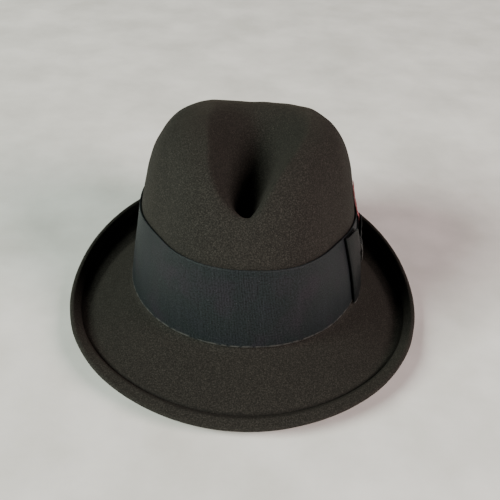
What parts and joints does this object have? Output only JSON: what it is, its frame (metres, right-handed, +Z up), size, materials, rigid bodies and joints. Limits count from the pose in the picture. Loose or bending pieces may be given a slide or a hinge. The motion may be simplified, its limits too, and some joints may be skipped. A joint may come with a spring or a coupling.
{
  "type": "felt fedora hat",
  "caption": "Soft felt fedora with a creased and pinched teardrop crown, a wide ribbon with a flat bow and feather, and a snapped, rolled brim with a folded welt.",
  "frame": {"origin": "on the table, under the middle of the hat's box", "axes": "+Z up, -Y to the front of the hat, +X to the wearer's left, where the bow sits"},
  "size_m": [0.254, 0.293, 0.141],
  "materials": {
    "felt": "matt, short-napped fur felt",
    "grosgrain": "fine upright ribs, low sheen",
    "feather": "soft, matt barbs"
  },
  "bodies": {
    "root": {"felt_body": "felt", "ribbon_band": "grosgrain", "bow_front_loop": "grosgrain", "bow_rear_loop": "grosgrain", "bow_knot": "grosgrain", "feather": "feather"}
  },
  "joints": []
}
